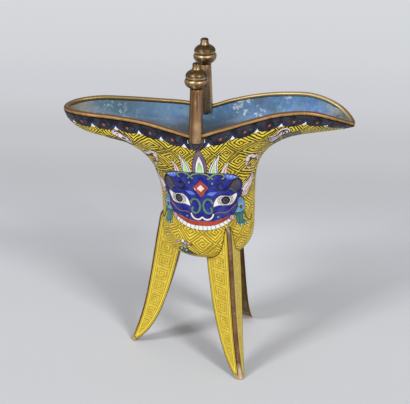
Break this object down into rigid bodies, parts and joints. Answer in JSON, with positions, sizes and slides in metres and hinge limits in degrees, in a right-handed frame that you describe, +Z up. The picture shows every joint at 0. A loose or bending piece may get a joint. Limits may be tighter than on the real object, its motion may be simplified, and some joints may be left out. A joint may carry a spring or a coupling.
{
  "type": "ritual wine cup",
  "caption": "Footed wine cup with a long spout, a pointed tail, knobbed posts on the rim and splayed blade legs, covered in cloisonne enamel.",
  "frame": {"origin": "on the floor under the centre of the bounding box", "axes": "+Z up; -X along the spout, +X along the tail; the two posts are on -Y and +Y"},
  "size_m": [0.1442, 0.0713, 0.16],
  "materials": {
    "raw_copper": "satin",
    "gilt_copper": "satin",
    "yellow_enamel": "gloss",
    "blue_enamel": "gloss",
    "enamelled_plate": "gloss"
  },
  "bodies": {
    "root": {"copper_cup": "raw_copper", "outer_enamel": "yellow_enamel", "inner_enamel": "blue_enamel", "rim_band": "gilt_copper", "front_post_shaft": "gilt_copper", "front_finial_bulb": "gilt_copper", "front_finial_dome": "gilt_copper", "front_finial_button": "gilt_copper", "back_post_shaft": "gilt_copper", "back_finial_bulb": "gilt_copper", "back_finial_dome": "gilt_copper", "back_finial_button": "gilt_copper", "spout_leg_ridge_bar": "gilt_copper", "spout_leg_left_plate": "enamelled_plate", "spout_leg_right_plate": "enamelled_plate", "spout_leg_back_plate": "raw_copper", "front_tail_leg_ridge_bar": "gilt_copper", "front_tail_leg_left_plate": "enamelled_plate", "front_tail_leg_right_plate": "enamelled_plate", "front_tail_leg_back_plate": "raw_copper", "back_tail_leg_ridge_bar": "gilt_copper", "back_tail_leg_left_plate": "enamelled_plate", "back_tail_leg_right_plate": "enamelled_plate", "back_tail_leg_back_plate": "raw_copper"}
  },
  "joints": []
}
